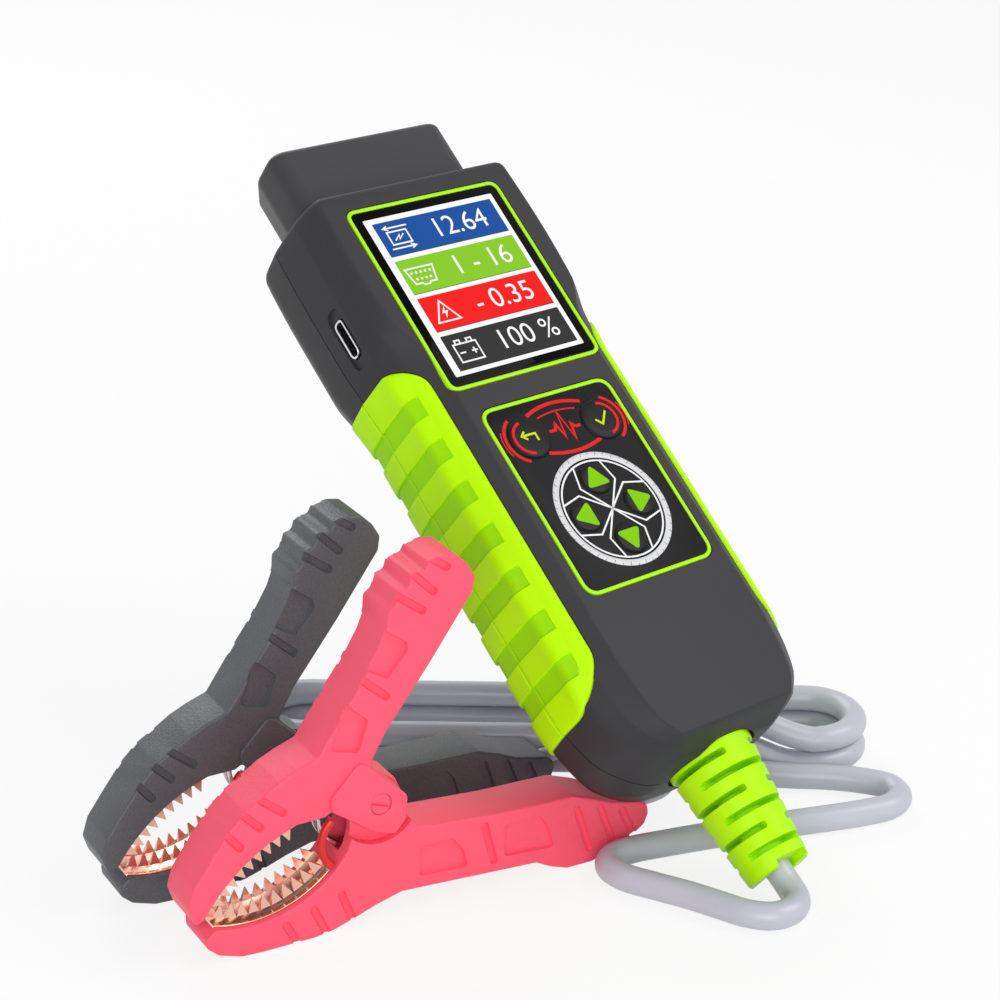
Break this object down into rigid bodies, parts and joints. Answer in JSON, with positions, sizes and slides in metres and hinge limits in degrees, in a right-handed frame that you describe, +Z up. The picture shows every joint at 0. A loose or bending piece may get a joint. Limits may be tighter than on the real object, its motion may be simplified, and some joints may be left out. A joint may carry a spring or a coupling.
{
  "type": "vehicle battery tester",
  "caption": "Handheld vehicle battery tester with a screen, arrow-key pad, diagnostic plug and side grips, and a grey lead to a red and a black spring clamp.",
  "frame": {"origin": "centre of the base of the box round the tester and clamps, on the table", "axes": "+Z up; +X along the tester's width, to its right; +Y from the tester's cord end back towards its plug; the tester leans back 40.5 degrees about X"},
  "size_m": [0.1491, 0.1388, 0.1138],
  "materials": {
    "casing": "matt",
    "grip": "matt",
    "glass": "polished",
    "border": "satin",
    "display": "matt",
    "keypad": "matt",
    "ring": "matt",
    "arrow": "matt",
    "board": "satin",
    "black_part": "satin",
    "resistor": "matt",
    "contact": "polished",
    "steel": "satin",
    "cord": "satin",
    "red_plastic": "satin",
    "black_plastic": "satin",
    "copper": "satin",
    "wire": "satin"
  },
  "bodies": {
    "tester": {"front_shell": "casing", "rear_shell": "casing", "grip_left": "grip", "grip_right": "grip", "screen_glass": "glass", "screen_border": "border", "display_module": "display", "keypad_sheet": "keypad", "keypad_border": "border", "keypad_ring": "ring", "key_switches": "black_part", "circuit_board": "board", "plug_shell": "casing", "plug_core": "black_part", "plug_pins": "contact", "usb_port": "steel", "buzzer": "black_part", "processor": "black_part", "load_resistor": "resistor", "terminal_block": "board", "case_screws": "steel", "cord_boot": "grip", "cord_tail": "cord", "cord": "cord", "cord_coil": "cord", "coil_tie": "black_part", "coil_exit": "cord", "splitter": "black_part", "lead_red": "cord", "lead_black": "cord", "red_lower_lever": "red_plastic", "red_lower_jaw": "copper", "red_spring": "steel", "red_pin": "red_plastic", "red_jumper": "wire", "black_lower_lever": "black_plastic", "black_lower_jaw": "copper", "black_spring": "steel", "black_pin": "black_plastic", "black_jumper": "wire"},
    "key_back": {"key_back": "keypad"},
    "key_ok": {"key_ok": "keypad"},
    "key_up": {"key_up": "arrow"},
    "key_down": {"key_down": "arrow"},
    "key_left": {"key_left": "arrow"},
    "key_right": {"key_right": "arrow"},
    "red_upper": {"red_upper_lever": "red_plastic", "red_upper_jaw": "copper"},
    "black_upper": {"black_upper_lever": "black_plastic", "black_upper_jaw": "copper"}
  },
  "joints": [
    {"name": "key_back_press", "type": "slide", "parent": "tester", "child": "key_back", "axis": [0, 0.6494, -0.7604], "range_m": [0, 0.0005], "stiffness_N_per_m": 300},
    {"name": "key_ok_press", "type": "slide", "parent": "tester", "child": "key_ok", "axis": [0, 0.6494, -0.7604], "range_m": [0, 0.0005], "stiffness_N_per_m": 300},
    {"name": "key_up_press", "type": "slide", "parent": "tester", "child": "key_up", "axis": [0, 0.6494, -0.7604], "range_m": [0, 0.0005], "stiffness_N_per_m": 300},
    {"name": "key_down_press", "type": "slide", "parent": "tester", "child": "key_down", "axis": [0, 0.6494, -0.7604], "range_m": [0, 0.0005], "stiffness_N_per_m": 300},
    {"name": "key_left_press", "type": "slide", "parent": "tester", "child": "key_left", "axis": [0, 0.6494, -0.7604], "range_m": [0, 0.0005], "stiffness_N_per_m": 300},
    {"name": "key_right_press", "type": "slide", "parent": "tester", "child": "key_right", "axis": [0, 0.6494, -0.7604], "range_m": [0, 0.0005], "stiffness_N_per_m": 300},
    {"name": "red_clamp_hinge", "type": "hinge", "parent": "tester", "child": "red_upper", "pos_m": [-0.02241, -0.01894, 0.0227], "axis": [0.1977, 0.9803, 0], "range_deg": [0, 20], "stiffness_Nm_per_rad": 0.8, "springref_deg": -34.38},
    {"name": "black_clamp_hinge", "type": "hinge", "parent": "tester", "child": "black_upper", "pos_m": [-0.0239, 0.00506, 0.0227], "axis": [0.1977, 0.9803, 0], "range_deg": [0, 20], "stiffness_Nm_per_rad": 0.8, "springref_deg": -34.38}
  ]
}
